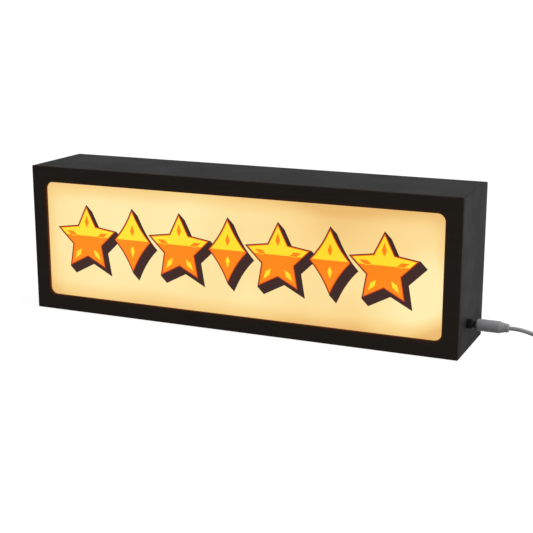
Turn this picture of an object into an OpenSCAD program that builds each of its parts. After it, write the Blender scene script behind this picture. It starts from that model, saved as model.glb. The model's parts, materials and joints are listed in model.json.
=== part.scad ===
// Mains-free light box: a shallow mitred box with a lit, printed face behind a thin front frame,
// fed through a round low-voltage jack in its right-hand side and switched by a rocker on its back.
// X runs to the right seen from the front, Y from the front to the back, Z up from the resting face.

/* [Box] */
// Overall width of the box
box_w = 450; // [420:5:500]
// Overall height of the box
box_h = 150; // [146:1:180]
// Overall depth of the box, from the front frame's face to the back rim
box_d = 89; // [80:1:110]
// Thickness of the four side boards
board_t = 6; // [5:0.5:7]
// Easing radius of the outer edges
edge_r = 1.2; // [0.6:0.2:2]

/* [Front frame] */
// Thickness of the front frame
frame_t = 3; // [2:0.5:4]
// Width of the frame's border round the window
border_w = 16; // [15:0.5:22]
// Corner radius of the window
window_r = 7.5; // [4:0.5:12]

/* [Lit face] */
// Thickness of the printed film
film_t = 0.3; // [0.2:0.1:0.6]
// Thickness of the opal diffuser sheet
diffuser_t = 3; // [2:0.5:4]
// Gap round each sheet inside the boards
sheet_gap = 0.5; // [0.3:0.1:1]
// Height of the spacer battens round the light chamber
spacer_h = 8; // [6:0.5:8]
// Depth of the light chamber, from the diffuser to the light-strip board
chamber_d = 16; // [12:0.5:18]

/* [Light strips] */
// Thickness of the board that carries the strips
led_board_t = 2; // [1.5:0.5:3]
// Gap between the ends of the flexible strips and the spacer battens
strip_end_gap = 11; // [8:1:30]
// Width of each flexible strip
strip_w = 8; // [8:0.5:12]
// Thickness of each flexible strip
strip_t = 0.3; // [0.2:0.1:0.5]
// Height between the two strips
strip_spacing = 50; // [44:1:64]
// Light-emitting packages on each strip
led_count = 24; // [12:3:30]
// Length of a light-emitting package
led_l = 3.5; // [3:0.5:5]
// Width of a light-emitting package
led_w = 2.8; // [2.5:0.1:5]
// Height of a light-emitting package
led_h = 0.8; // [0.6:0.1:1.6]
// Radius of the insulated wires
wire_r = 0.8; // [0.6:0.1:1]

/* [Back] */
// Thickness of the back panel
back_t = 3; // [2.5:0.5:4]
// Distance from the back rim in to the back panel's face
back_inset = 5; // [5:0.5:8]
// Side of the square corner blocks
block_w = 11; // [9:0.5:11]
// Length of the centre blocks along the box
centre_block_l = 30; // [20:1:50]
// Depth of the centre blocks
centre_block_d = 15; // [14:1:20]

/* [Keyholes] */
// Distance from the ends of the box in to the middles of the keyholes
keyhole_inset = 75; // [65:5:110]
// Distance from the top of the box down to the middles of the keyholes' round openings
keyhole_drop = 38; // [34:1:60]
// Radius of the keyholes' round openings
keyhole_r = 5; // [4.5:0.1:5.5]
// Width of the keyholes' slots
keyhole_slot_w = 5; // [4.5:0.1:6]
// Rise of the slots above the middle of the round openings
keyhole_rise = 9; // [8:0.5:10]
// Thickness of the keyhole plates
plate_t = 1; // [0.8:0.1:1.5]
// Radius of the rivets' shanks
rivet_r = 1.2; // [1:0.1:1.5]

/* [Screws] */
// Radius of the wood screws' shanks
screw_r = 1.5; // [1.2:0.1:1.8]
// Length of the wood screws under the head
screw_l = 13; // [10:1:15]
// Radius of the wood screws' heads
screw_head_r = 3; // [2.5:0.1:3.5]
// Height of the wood screws' heads
screw_head_h = 1.8; // [1.4:0.1:2.2]

/* [Jack] */
// Height of the jack's axis
jack_z = 27; // [25:0.1:45]
// Gap between the light-strip board and the jack's inner body
jack_gap = 1.7; // [0.5:0.1:6]
// Wall left between the outside and the jack's inner pocket
jack_wall = 2.5; // [2:0.5:3]
// Radius of the jack's inner body
jack_body_r = 5.5; // [5:0.1:7]
// Length of the jack's inner body
jack_body_l = 10; // [9:0.5:14]
// Radius of the jack's threaded sleeve
sleeve_r = 3.5; // [3.4:0.1:3.8]
// Length of sleeve that stands out of the ring nut
sleeve_out = 2.2; // [1:0.1:5]
// Radius of the jack's bore
jack_bore_r = 2.65; // [2.6:0.05:2.8]
// Radius of the ring nut on the outside
ring_r = 4.6; // [4.2:0.1:7]
// Length of the ring nut, which stands out of the side
ring_h = 5.8; // [3:0.1:6]

/* [Plug and lead] */
// Radius of the plug's metal barrel
barrel_r = 2.4; // [2.2:0.05:2.45]
// Length of the plug's metal barrel
barrel_l = 14.2; // [12:0.2:15]
// Length of barrel that stays bare between the jack and the grip
barrel_bare = 0.3; // [0.2:0.1:5]
// Radius of the plug's moulded grip
grip_r = 5.6; // [5:0.1:6]
// Length of the drum of the plug's grip
drum_l = 21.8; // [18:0.1:25]
// Length of the cone between the drum and the strain relief
cone_l = 4.1; // [3:0.1:6]
// Radius of the cone's small end, where the strain relief starts
cone_end_r = 4.3; // [3.8:0.1:4.6]
// Length of the ribbed strain relief
boot_l = 4; // [3.5:0.1:9]
// Radius of the lead
cord_r = 1.95; // [1.6:0.05:2]

/* [Rocker switch] */
// Distance from the right-hand end of the box in to the switch's middle
switch_inset = 60; // [55:1:85]
// Height of the switch's middle
switch_z = 45; // [40:1:60]
// Length of the switch's rim
rim_l = 21; // [21:0.5:24]
// Height of the switch's rim
rim_h = 15; // [15:0.5:17]
// Thickness of the switch's rim
rim_t = 1.5; // [1.2:0.1:1.8]
// Depth of the switch's housing behind the panel's face
housing_d = 13; // [13:0.5:16]
// Tilt of the rocker to either side
rocker_tilt = 10; // [7:1:10]

/* [Hidden] */

ROUND_FN = 64; // any number above 12 stands for a true circle
SWEEP_SIDES = 8;
CUT = 1; // how far a cutting body runs past the face that it cuts
SCREW_PLAY = 0.1; // radial room round a screw, rivet or plug-in part
LINE_PLAY = 0.05; // room round a contact in its slot

// Planes across the box, from the front to the back
front_y = -box_d / 2;
back_y = box_d / 2;
frame_back_y = front_y + frame_t;
film_back_y = frame_back_y + film_t;
diffuser_back_y = film_back_y + diffuser_t;
led_front_y = diffuser_back_y + chamber_d;
led_back_y = led_front_y + led_board_t;
panel_out_y = back_y - back_inset;
panel_in_y = panel_out_y - back_t;

// Sizes that follow from the box
window_w = box_w - 2 * border_w;
window_h = box_h - 2 * border_w;
inner_w = box_w - 2 * board_t;
inner_h = box_h - 2 * board_t;
sheet_w = inner_w - 2 * sheet_gap;
sheet_h = inner_h - 2 * sheet_gap;
mid_z = box_h / 2;
wall_x = box_w / 2;
inner_x = inner_w / 2;

// Jack and plug, along X from the inside to the outside
jack_y = led_back_y + jack_gap + jack_body_r;
flange_r = jack_body_r + 0.5;
flange_t = 2;
flange_out_x = wall_x - jack_wall;
flange_in_x = flange_out_x - flange_t;
jack_rear_x = flange_in_x - jack_body_l;
sleeve_end_x = wall_x + ring_h + sleeve_out;
grip_x = sleeve_end_x + barrel_bare;
barrel_tip_x = grip_x - barrel_l;
bore_end_x = barrel_tip_x - 1.4;
cone_x = grip_x + drum_l;
boot_x = cone_x + cone_l;
boot_end_x = boot_x + boot_l;
barrel_wall = 0.5;
pin_r = 1.05;
pin_play = 0.2; // radial room round the jack's pin in the plug
pin_tip_x = sleeve_end_x - 3;
leaf_z = barrel_r + 0.15;
leaf_t = 0.4;
leaf_w = 1.8;
leaf_end_x = flange_out_x + 4;
tab_l = 5;
tab_w = 2;
tab_t = 0.6;
tab_rise = leaf_z + leaf_t / 2;
terminal_x = jack_rear_x - tab_l;

// Light strips and the hole that their wires pass through
strip_x = inner_x - spacer_h - strip_end_gap;
strip_l = 2 * strip_x;
lower_z = mid_z - strip_spacing / 2;
upper_z = mid_z + strip_spacing / 2;
led_pitch = strip_l / led_count;
wire_pair = 1.6; // half the height between the two feed wires
wire_bend_r = 2;
wire_hole_r = wire_pair + 2 * wire_r;
feed_x = strip_x + wire_bend_r + 2;

// Rocker switch: U runs along X and V outwards along Y from the rocker's pivot
switch_x = wall_x - switch_inset;
pivot_v = 0.5; // depth of the pivot under the panel's outer face
pivot_y = panel_out_y - pivot_v;
switch_wall = 0.8;
housing_l = rim_l - 2;
housing_h = rim_h - 2;
cavity_l = housing_l - 2 * switch_wall;
cavity_h = housing_h - 2 * switch_wall;
floor_t = 1.5;
floor_v = pivot_v - housing_d + floor_t;
rocker_l = cavity_l - 1;
rocker_h = cavity_h - 0.6;
pivot_r = 1.2;
pivot_play = 0.07;
stem_w = 4.4;
stem_v = -5.6;
plunger_r = 1.2;
plunger_tip_v = -7.2;
spring_top_v = -0.5;
spring_end_v = -4;
lever_v = -7.65;
lever_l = 11;
lever_w = 4;
lever_t = 0.5;
lever_tilt = 0.6 * rocker_tilt;
seat_gap = 0.15; // room between the lever and what it rocks or lands on
side_post_u = 4.4; // distance from the pivot to the side contact and to its stop
post_w = 1.2;
side_post_v = lever_v - lever_t - seat_gap - (side_post_u + post_w / 2) * tan(lever_tilt);
blade_t = 0.8;
blade_end_v = -19;

// Lead: the points of the stretch from the plug to the coil, and from the coil to the far plug
run_points = [
    [263.2, -13, 27], [267, -13, 27], [271, -13, 26.85], [275, -13, 26.4], [279, -13, 25.65],
    [283, -13, 24.65], [287, -13, 23.35], [291, -13, 21.8], [295, -13, 20.1], [299, -13, 18.4],
    [302.5, -13, 17], [305.5, -13, 15.9], [308.2, -13, 15.1]
];
tail_points = [
    [294.6, 0.7, 2.6], [294.6, -4, 2.3], [294.6, -9, 2.1], [294.6, -14, 2], [295.2, -18.8, 2],
    [296.8, -22.8, 2.1], [299.4, -26.2, 2.4], [302.9, -28.8, 2.9], [306.8, -30.4, 3.5],
    [311, -31, 3.9], [312.5, -31, 4], [314, -31, 4]
];
coil_mid = [318, 10.4];
coil_mean_r = 19.5;
coil_columns = 3;
coil_layers = 4;
cord_d = 2 * cord_r;
tie_t = 0.6;
tie_turn = 40; // direction from the coil's middle to the tie
tie_half_angle = 11;
coil_in_r = coil_mean_r - coil_columns * cord_r;
coil_out_r = coil_mean_r + coil_columns * cord_r;
coil_top_z = tie_t + coil_layers * cord_d;

// Far plug, lying in front of the coil with its shell to the right
usb_z = 4;
usb_end = tail_points[len(tail_points) - 1];
usb_boot_l = 7;
usb_grip_l = 19;
usb_grip_w = 15;
usb_grip_h = 8;
usb_shell_l = 12;
usb_shell_w = 12;
usb_shell_h = 4.5;
usb_shell_t = 0.3;
usb_grip_x = usb_end.x + usb_boot_l;
usb_shell_x = usb_grip_x + usb_grip_l;

PAINT = "#262423";
BATTEN = "#e9e4d8";
PLY = "#b9936a";
NICKEL = "#b8babd";
WHITE_PLASTIC = "#dcdcdc";
BLACK_PLASTIC = "#1b1b1c";

// ---- shapes that repeat -------------------------------------------------------------------

// Rectangle about the origin with true round corners
module rounded_rect(w, h, r) {
    square([w - 2 * r, h], center = true);
    square([w, h - 2 * r], center = true);
    for (x = [-1, 1], y = [-1, 1])
        translate([x * (w / 2 - r), y * (h / 2 - r)]) circle(r, $fn = ROUND_FN);
}

// Body whose outline is drawn as seen from the front, in X and Z, and that runs from y0 to y1
module from_front(y0, y1) {
    translate([0, y1, 0]) rotate([90, 0, 0]) linear_extrude(y1 - y0) children();
}

// Round rod along Y from y0 to y1
module rod_y(x, z, r, y0, y1) {
    from_front(y0, y1) translate([x, z]) circle(r, $fn = ROUND_FN);
}

// Round rod along the jack's axis from x0 to x1
module jack_rod(r, x0, x1) {
    translate([x0, jack_y, jack_z]) rotate([0, 90, 0]) cylinder(h = x1 - x0, r = r, $fn = ROUND_FN);
}

// Body turned round the jack's axis; its outline is drawn with the radius in X and the length in Y
module turned_on_jack() {
    translate([0, jack_y, jack_z]) rotate([0, 90, 0])
        rotate_extrude($fn = ROUND_FN) children();
}

// Mirrors its children so that they lie on the stated sides of X and Y
module on_side(x_side, y_side) {
    mirror([x_side < 0 ? 1 : 0, 0, 0]) mirror([0, y_side < 0 ? 1 : 0, 0]) children();
}

// Bar that cuts a square edge, which runs along Z through the origin, to a round of radius r
module edge_bar(length, r) {
    linear_extrude(length, center = true) difference() {
        translate([-r, -r]) square(r + CUT);
        translate([-r, -r]) circle(r, $fn = ROUND_FN);
    }
}

// Bars that ease the four outer edges of the box's face at y; face is -1 at the front, 1 at the back
module face_edges(y, face) {
    for (side = [-1, 1]) {
        translate([side * box_w / 2, y, mid_z])
            on_side(side, face) edge_bar(box_h + 2 * CUT, edge_r);
        translate([0, y, mid_z + side * box_h / 2])
            rotate([0, 90, 0]) on_side(-side, face) edge_bar(box_w + 2 * CUT, edge_r);
    }
}

// Points on a cubic curve that leaves a along da and reaches b from the side of db
function curve_point(a, da, b, db, t) =
    let (u = 1 - t)
    u * u * u * a + 3 * u * u * t * (a + da) + 3 * u * t * t * (b + db) + t * t * t * b;
function curve(a, da, b, db, steps) =
    [for (i = [0:steps]) curve_point(a, da, b, db, i / steps)];

// The same with a short straight stretch at either end, square to what the wire is soldered to
function wire_points(a, da, b, db, steps) =
    concat([a], curve(a + unit(da), da, b + unit(db), db, steps), [b]);

// Directions along a row of points, and a side direction carried along it without twist
function unit(v) = v / norm(v);
function tangent(p, i) = unit(p[min(i + 1, len(p) - 1)] - p[max(i - 1, 0)]);
function square_to(v, t) = unit(v - (v * t) * t);
function first_side(t) = square_to(abs(t.z) < 0.8 ? [0, 0, 1] : [1, 0, 0], t);
function sides_along(p) = [
    for (i = 0, n = first_side(tangent(p, 0)); i < len(p);
         i = i + 1, n = i < len(p) ? square_to(n, tangent(p, i)) : n) n
];

// Round bar of radius r swept along a row of points, with flat ends
module swept(p, r, sides = SWEEP_SIDES) {
    last = len(p) - 1;
    side = sides_along(p);
    rings = [
        for (i = [0:last], k = [0:sides - 1])
            let (a = 360 * k / sides, n = side[i], m = cross(tangent(p, i), n))
            p[i] + r * (cos(a) * n + sin(a) * m)
    ];
    walls = [
        for (i = [0:last - 1], k = [0:sides - 1])
            let (j = (k + 1) % sides)
            [i * sides + k, (i + 1) * sides + k, (i + 1) * sides + j, i * sides + j]
    ];
    start_cap = [for (k = [0:sides - 1]) k];
    end_cap = [for (k = [sides - 1:-1:0]) last * sides + k];
    polyhedron(rings, concat(walls, [start_cap], [end_cap]), convexity = 6);
}

// ---- cabinet ------------------------------------------------------------------------------

module front_frame() {
    color(PAINT) difference() {
        from_front(front_y, frame_back_y) difference() {
            translate([0, mid_z]) rounded_rect(box_w, box_h, edge_r);
            translate([0, mid_z]) rounded_rect(window_w, window_h, window_r);
        }
        face_edges(front_y, -1);
    }
}

// Seen from the front about the box's middle: what the mitres leave of an upper and a right board
upper_wedge = [
    [-wall_x - CUT, mid_z + CUT], [wall_x + CUT, mid_z + CUT],
    [inner_x - CUT, inner_h / 2 - CUT], [CUT - inner_x, inner_h / 2 - CUT]
];
right_wedge = [
    [wall_x + CUT, -mid_z - CUT], [wall_x + CUT, mid_z + CUT],
    [inner_x - CUT, inner_h / 2 - CUT], [inner_x - CUT, CUT - inner_h / 2]
];

// Side board, cut from the ring of boards by its wedge on the stated side of the box
module mitred_board(wedge, x_side, z_side) {
    difference() {
        from_front(frame_back_y, back_y) translate([0, mid_z]) intersection() {
            difference() {
                rounded_rect(box_w, box_h, edge_r);
                square([inner_w, inner_h], center = true);
            }
            on_side(x_side, z_side) polygon(wedge);
        }
        face_edges(back_y, 1);
    }
}

module top_board() {
    color(PAINT) mitred_board(upper_wedge, 1, 1);
}

module bottom_board() {
    color(PAINT) mitred_board(upper_wedge, 1, -1);
}

module left_board() {
    color(PAINT) mitred_board(right_wedge, -1, 1);
}

module right_board() {
    color(PAINT) difference() {
        mitred_board(right_wedge, 1, 1);
        jack_rod(sleeve_r + SCREW_PLAY, inner_x - CUT, wall_x + CUT);
        jack_rod(flange_r + SCREW_PLAY, inner_x - CUT, flange_out_x);
    }
}

// Batten along the top or bottom of the light chamber
module long_spacer(z) {
    color(BATTEN) translate([-inner_x, diffuser_back_y, z]) cube([inner_w, chamber_d, spacer_h]);
}

module spacer_top() {
    long_spacer(box_h - board_t - spacer_h);
}

module spacer_bottom() {
    long_spacer(board_t);
}

// Batten between the two long ones at an end of the light chamber
module short_spacer(x) {
    color(BATTEN) translate([x, diffuser_back_y, board_t + spacer_h])
        cube([spacer_h, chamber_d, inner_h - 2 * spacer_h]);
}

module spacer_left() {
    short_spacer(-inner_x);
}

module spacer_right() {
    short_spacer(inner_x - spacer_h);
}

// ---- blocks behind the back panel -------------------------------------------------------------

// Middle of a screw's head, seen from the front: column -1, 0 or 1 and row -1 or 1
function screw_x(column) = column * (inner_x - block_w / 2);
function screw_z(row) = mid_z + row * (inner_h / 2 - block_w / 2);

// Pilot hole for one back panel screw
module pilot_hole(column, row) {
    rod_y(screw_x(column), screw_z(row), screw_r + SCREW_PLAY, panel_out_y - screw_l - CUT, back_y);
}

// Block of the stated length and depth, glued into the boards and drilled for its screw
module screw_block(column, row, length, y0) {
    color(PLY) difference() {
        translate([screw_x(column) - length / 2, y0, screw_z(row) - block_w / 2])
            cube([length, panel_in_y - y0, block_w]);
        pilot_hole(column, row);
    }
}

module corner_block_upper_left() {
    screw_block(-1, 1, block_w, led_back_y);
}

module corner_block_upper_right() {
    screw_block(1, 1, block_w, led_back_y);
}

module corner_block_lower_left() {
    screw_block(-1, -1, block_w, led_back_y);
}

module corner_block_lower_right() {
    screw_block(1, -1, block_w, led_back_y);
}

module centre_blocks() {
    for (row = [-1, 1])
        screw_block(0, row, centre_block_l, panel_in_y - centre_block_d);
}

// ---- lit face and light strips ----------------------------------------------------------------

// Sheet that fills the inside of the boards from y0 to y1
module inner_sheet(y0, y1) {
    translate([-sheet_w / 2, y0, mid_z - sheet_h / 2]) cube([sheet_w, y1 - y0, sheet_h]);
}

module printed_film() {
    color("#ffd98a") inner_sheet(frame_back_y, film_back_y);
}

module diffuser_sheet() {
    color("#f6f1e2") inner_sheet(film_back_y, diffuser_back_y);
}

module led_board() {
    color("#f2f0ea") difference() {
        inner_sheet(led_front_y, led_back_y);
        rod_y(feed_x, lower_z, wire_hole_r, led_front_y - CUT, led_back_y + CUT);
    }
}

// Flexible strip stuck to the front of its board
module led_strip(z) {
    color("#e8e6dc") translate([-strip_x, led_front_y - strip_t, z - strip_w / 2])
        cube([strip_l, strip_t, strip_w]);
}

// Light-emitting packages along one strip
module led_packages(z) {
    color("#f5e27a") for (i = [0:led_count - 1])
        translate([(i + 0.5) * led_pitch - strip_x - led_l / 2,
                   led_front_y - strip_t - led_h, z - led_w / 2])
            cube([led_l, led_h, led_w]);
}

module led_strip_upper() {
    led_strip(upper_z);
}

module led_strip_lower() {
    led_strip(lower_z);
}

module led_packages_upper() {
    led_packages(upper_z);
}

module led_packages_lower() {
    led_packages(lower_z);
}

// One resistor after every third package
module strip_resistors() {
    resistor = [3.2, 0.6, 1.6];
    color(BLACK_PLASTIC) for (z = [lower_z, upper_z], i = [3:3:led_count - 1])
        translate([i * led_pitch - strip_x - resistor.x / 2,
                   led_front_y - strip_t - resistor.y, z - resistor.z / 2])
            cube(resistor);
}

// Two wires that join the strips at their left ends
module strip_link_wires() {
    color("#b32d22") for (x = [3, 7])
        translate([x - strip_x, led_front_y - wire_r, lower_z + strip_w / 2])
            cylinder(h = strip_spacing - strip_w, r = wire_r, $fn = ROUND_FN);
}

// ---- back panel --------------------------------------------------------------------------------

keyhole_x = wall_x - keyhole_inset;
keyhole_z = box_h - keyhole_drop;
plate_w = 2 * keyhole_r + 20;
plate_h = 2 * keyhole_r + keyhole_rise + 7;
rivet_x = keyhole_r + 6.5;
rivet_z = keyhole_z + keyhole_rise / 2;
head_room = 1.5; // how much wider the panel's cut is than the round opening, on every side
rivet_head_r = rivet_r + 1;
rivet_head_h = 0.8;

// Keyhole seen from the front about the middle of its round opening
module keyhole_shape(r, slot_w) {
    circle(r, $fn = ROUND_FN);
    translate([-slot_w / 2, 0]) square([slot_w, keyhole_rise]);
    translate([0, keyhole_rise]) circle(slot_w / 2, $fn = ROUND_FN);
}

module back_panel() {
    color("#2b2a29") difference() {
        inner_sheet(panel_in_y, panel_out_y);
        for (column = [-1, 0, 1], row = [-1, 1]) pilot_hole(column, row);
        for (side = [-1, 1]) {
            from_front(panel_in_y - CUT, panel_out_y + CUT) translate([side * keyhole_x, keyhole_z])
                keyhole_shape(keyhole_r + head_room, 2 * (keyhole_r + head_room));
            for (end = [-1, 1])
                rod_y(side * keyhole_x + end * rivet_x, rivet_z, rivet_r,
                      panel_in_y - CUT, panel_out_y + CUT);
        }
        translate([switch_x, (panel_in_y + panel_out_y) / 2, switch_z])
            cube([housing_l + 2 * SCREW_PLAY, back_t + 2 * CUT, housing_h + 2 * SCREW_PLAY],
                 center = true);
    }
}

// Pan-headed screws with crossed recesses
module back_panel_screws() {
    recess_l = screw_head_r;
    recess_w = 0.8;
    color(NICKEL) for (column = [-1, 0, 1], row = [-1, 1]) difference() {
        union() {
            rod_y(screw_x(column), screw_z(row), screw_r, panel_out_y - screw_l, panel_out_y);
            rod_y(screw_x(column), screw_z(row), screw_head_r,
                  panel_out_y, panel_out_y + screw_head_h);
        }
        for (turn = [0, 90])
            translate([screw_x(column), panel_out_y + screw_head_h, screw_z(row)])
                rotate([0, turn, 0]) cube([recess_l, screw_head_h, recess_w], center = true);
    }
}

// Steel plate with the keyhole that hangs on a wall screw
module keyhole_plate(side) {
    color(NICKEL) difference() {
        from_front(panel_out_y, panel_out_y + plate_t)
            translate([side * keyhole_x, rivet_z]) rounded_rect(plate_w, plate_h, 2);
        from_front(panel_out_y - CUT, panel_out_y + plate_t + CUT)
            translate([side * keyhole_x, keyhole_z]) keyhole_shape(keyhole_r, keyhole_slot_w);
        for (end = [-1, 1])
            rod_y(side * keyhole_x + end * rivet_x, rivet_z, rivet_r,
                  panel_out_y - CUT, panel_out_y + plate_t + CUT);
    }
}

module keyhole_plate_left() {
    keyhole_plate(-1);
}

module keyhole_plate_right() {
    keyhole_plate(1);
}

// Rivets through the plates and the panel, headed on both sides
module keyhole_rivets() {
    color(NICKEL) for (side = [-1, 1], end = [-1, 1]) {
        x = side * keyhole_x + end * rivet_x;
        rod_y(x, rivet_z, rivet_r, panel_in_y - rivet_head_h, panel_out_y + plate_t + rivet_head_h);
        rod_y(x, rivet_z, rivet_head_r, panel_in_y - rivet_head_h, panel_in_y);
        rod_y(x, rivet_z, rivet_head_r, panel_out_y + plate_t, panel_out_y + plate_t + rivet_head_h);
    }
}

// ---- jack --------------------------------------------------------------------------------------

// Grooves between the threads of the sleeve's bare end
module thread_grooves() {
    depth = 0.15;
    pitch = 0.7;
    turned_on_jack() for (x = [wall_x + ring_h + pitch / 2:pitch:sleeve_end_x - pitch / 2])
        polygon([[sleeve_r - depth, x], [sleeve_r + CUT, x - pitch / 2], [sleeve_r + CUT, x + pitch / 2]]);
}

module jack_housing() {
    color(BLACK_PLASTIC) difference() {
        union() {
            jack_rod(jack_body_r, jack_rear_x, flange_in_x);
            jack_rod(flange_r, flange_in_x, flange_out_x);
            jack_rod(sleeve_r, flange_out_x, sleeve_end_x);
        }
        thread_grooves();
        jack_rod(jack_bore_r, bore_end_x, sleeve_end_x + CUT);
        jack_rod(pin_r, jack_rear_x - CUT, bore_end_x + CUT);
        translate([jack_rear_x - CUT, jack_y - leaf_w / 2 - LINE_PLAY, jack_z])
            cube([leaf_end_x + LINE_PLAY - jack_rear_x + CUT, leaf_w + 2 * LINE_PLAY, leaf_z + leaf_t]);
    }
}

// Round nut with a chamfered outer edge
module jack_ring_nut() {
    chamfer = 0.5;
    color(BLACK_PLASTIC) turned_on_jack() polygon([
        [sleeve_r, wall_x], [ring_r, wall_x], [ring_r, wall_x + ring_h - chamfer],
        [ring_r - chamfer, wall_x + ring_h], [sleeve_r, wall_x + ring_h]
    ]);
}

module jack_centre_pin() {
    color(NICKEL) {
        jack_rod(pin_r, jack_rear_x, pin_tip_x - pin_r);
        translate([pin_tip_x - pin_r, jack_y, jack_z]) sphere(pin_r, $fn = ROUND_FN);
    }
}

// Leaf that presses on the plug's barrel from above
module jack_contact_leaf() {
    color(NICKEL) translate([jack_rear_x, jack_y - leaf_w / 2, jack_z + leaf_z])
        cube([leaf_end_x - jack_rear_x, leaf_w, leaf_t]);
}

// Solder tabs behind the pin and behind the leaf
module jack_terminals() {
    color(NICKEL) for (z = [jack_z, jack_z + tab_rise])
        translate([terminal_x, jack_y - tab_t / 2, z - tab_w / 2]) cube([tab_l, tab_t, tab_w]);
}

// ---- rocker switch -----------------------------------------------------------------------------

// Places a body drawn in U and V, and extruded evenly about the switch's mid height, on the back
module at_switch(height, tilt = 0) {
    translate([switch_x, pivot_y, switch_z]) rotate([0, 0, tilt])
        linear_extrude(height, center = true) children();
}

// Rectangle in U and V between the stated limits
module uv_box(u0, u1, v0, v1) {
    translate([u0, v0]) square([u1 - u0, v1 - v0]);
}

module switch_housing() {
    clip_out = 0.8;
    clip_l = 3;
    clip_h = 6;
    panel_in_v = panel_in_y - pivot_y;
    color(BLACK_PLASTIC) {
        difference() {
            union() {
                at_switch(rim_h) uv_box(-rim_l / 2, rim_l / 2, pivot_v, pivot_v + rim_t);
                at_switch(housing_h)
                    uv_box(-housing_l / 2, housing_l / 2, floor_v - floor_t, pivot_v);
                for (side = [-1, 1]) at_switch(clip_h) on_side(side, 1) polygon([
                    [housing_l / 2 - switch_wall / 2, panel_in_v],
                    [housing_l / 2 + clip_out, panel_in_v],
                    [housing_l / 2, panel_in_v - clip_l],
                    [housing_l / 2 - switch_wall / 2, panel_in_v - clip_l]
                ]);
            }
            at_switch(cavity_h) uv_box(-cavity_l / 2, cavity_l / 2, floor_v, pivot_v + rim_t + CUT);
            at_switch(rim_h) circle(pivot_r + pivot_play, $fn = ROUND_FN);
            for (u = [0, -side_post_u]) at_switch(lever_w + 2 * LINE_PLAY)
                uv_box(u - blade_t / 2 - LINE_PLAY, u + blade_t / 2 + LINE_PLAY,
                       floor_v - floor_t - CUT, floor_v + CUT);
        }
        at_switch(lever_w) uv_box(side_post_u - post_w / 2, side_post_u + post_w / 2,
                                  floor_v, side_post_v);
    }
}

// Rocker with a shallow V across its face, its pivots and the hollow stem under it, pressed to the right
module switch_rocker() {
    half = rocker_l / 2;
    crown = 1.2;
    end_rise = crown + half * tan(rocker_tilt);
    skirt_v = -2.6;
    color("#232324") difference() {
        union() {
            at_switch(rocker_h, -rocker_tilt) polygon([
                [-half, end_rise], [0, crown], [half, end_rise],
                [half, 0], [half - 0.8, skirt_v], [-half + 0.8, skirt_v], [-half, 0]
            ]);
            at_switch(housing_h - 0.4, -rocker_tilt) circle(pivot_r, $fn = ROUND_FN);
            at_switch(stem_w, -rocker_tilt) uv_box(-stem_w / 2, stem_w / 2, stem_v, skirt_v);
        }
        along_stem(plunger_r + LINE_PLAY, stem_v - CUT, spring_top_v);
    }
}

// Round rod along the rocker's stem from v0 to v1
module along_stem(r, v0, v1) {
    translate([switch_x, pivot_y, switch_z]) rotate([0, 0, -rocker_tilt])
        translate([0, v1, 0]) rotate([90, 0, 0]) cylinder(h = v1 - v0, r = r, $fn = ROUND_FN);
}

module switch_plunger() {
    color(WHITE_PLASTIC) {
        along_stem(plunger_r, plunger_tip_v + plunger_r, spring_end_v);
        translate([switch_x, pivot_y, switch_z]) rotate([0, 0, -rocker_tilt])
            translate([0, plunger_tip_v + plunger_r, 0]) sphere(plunger_r, $fn = ROUND_FN);
    }
}

// Coil spring between the stem's end and the plunger
module switch_spring() {
    wire = 0.2;
    coil_r = plunger_r - 2 * wire;
    turns = 5;
    steps = 12;
    rise = (spring_top_v - spring_end_v - 2 * wire) / (turns * steps);
    helix = [
        for (i = [0:turns * steps])
            [coil_r * cos(360 * i / steps), spring_end_v + wire + i * rise, coil_r * sin(360 * i / steps)]
    ];
    color(NICKEL) translate([switch_x, pivot_y, switch_z]) rotate([0, 0, -rocker_tilt])
        swept(helix, wire, 6);
}

// Contact lever, tipped on to the side contact
module switch_contact_lever() {
    color("#c99a45") translate([switch_x, pivot_y + lever_v, switch_z]) rotate([0, 0, lever_tilt])
        cube([lever_l, lever_t, lever_w], center = true);
}

// Centre contact, which the lever rocks on, and side contact, each with the blade behind the housing
module switch_terminals() {
    tops = [lever_v - lever_t / 2 - seat_gap, side_post_v];
    places = [0, -side_post_u];
    color("#c99a45") for (i = [0, 1]) {
        at_switch(lever_w) uv_box(places[i] - blade_t / 2, places[i] + blade_t / 2,
                                  blade_end_v, tops[i] - 0.4);
        at_switch(lever_w) uv_box(places[i] - post_w / 2, places[i] + post_w / 2,
                                  tops[i] - 0.4, tops[i]);
    }
}

// ---- wires inside the box ----------------------------------------------------------------------

blade_y = pivot_y + blade_end_v;

// Last stretch of a feed wire: through the hole in its board and round on to the strip's end
function feed_points(z) = concat(
    [for (i = [0:4]) [feed_x, led_back_y + 4 - i, z]],
    [for (a = [0:15:90])
        [feed_x - wire_bend_r * (1 - cos(a)),
         led_front_y - wire_r + wire_bend_r * (1 - sin(a)), z]],
    [[strip_x + 1, led_front_y - wire_r, z], [strip_x, led_front_y - wire_r, z]]
);

module wire_jack_to_switch() {
    color("#b32d22") swept(wire_points(
        [terminal_x, jack_y, jack_z], [-25, 0, 0], [switch_x, blade_y, switch_z], [0, -22, 0], 20
    ), wire_r);
}

module wire_switch_to_strip() {
    z = lower_z + wire_pair;
    color("#b32d22") swept(concat(
        wire_points([switch_x - side_post_u, blade_y, switch_z], [0, -16, 0],
                    [feed_x, led_back_y + 5, z], [0, 16, 0], 16),
        feed_points(z)
    ), wire_r);
}

module wire_jack_to_strip() {
    z = lower_z - wire_pair;
    color("#26262a") swept(concat(
        wire_points([terminal_x, jack_y, jack_z + tab_rise], [-14, 0, 0],
                    [feed_x, led_back_y + 5, z], [0, 14, 0], 16),
        feed_points(z)
    ), wire_r);
}

// ---- plug --------------------------------------------------------------------------------------

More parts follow.
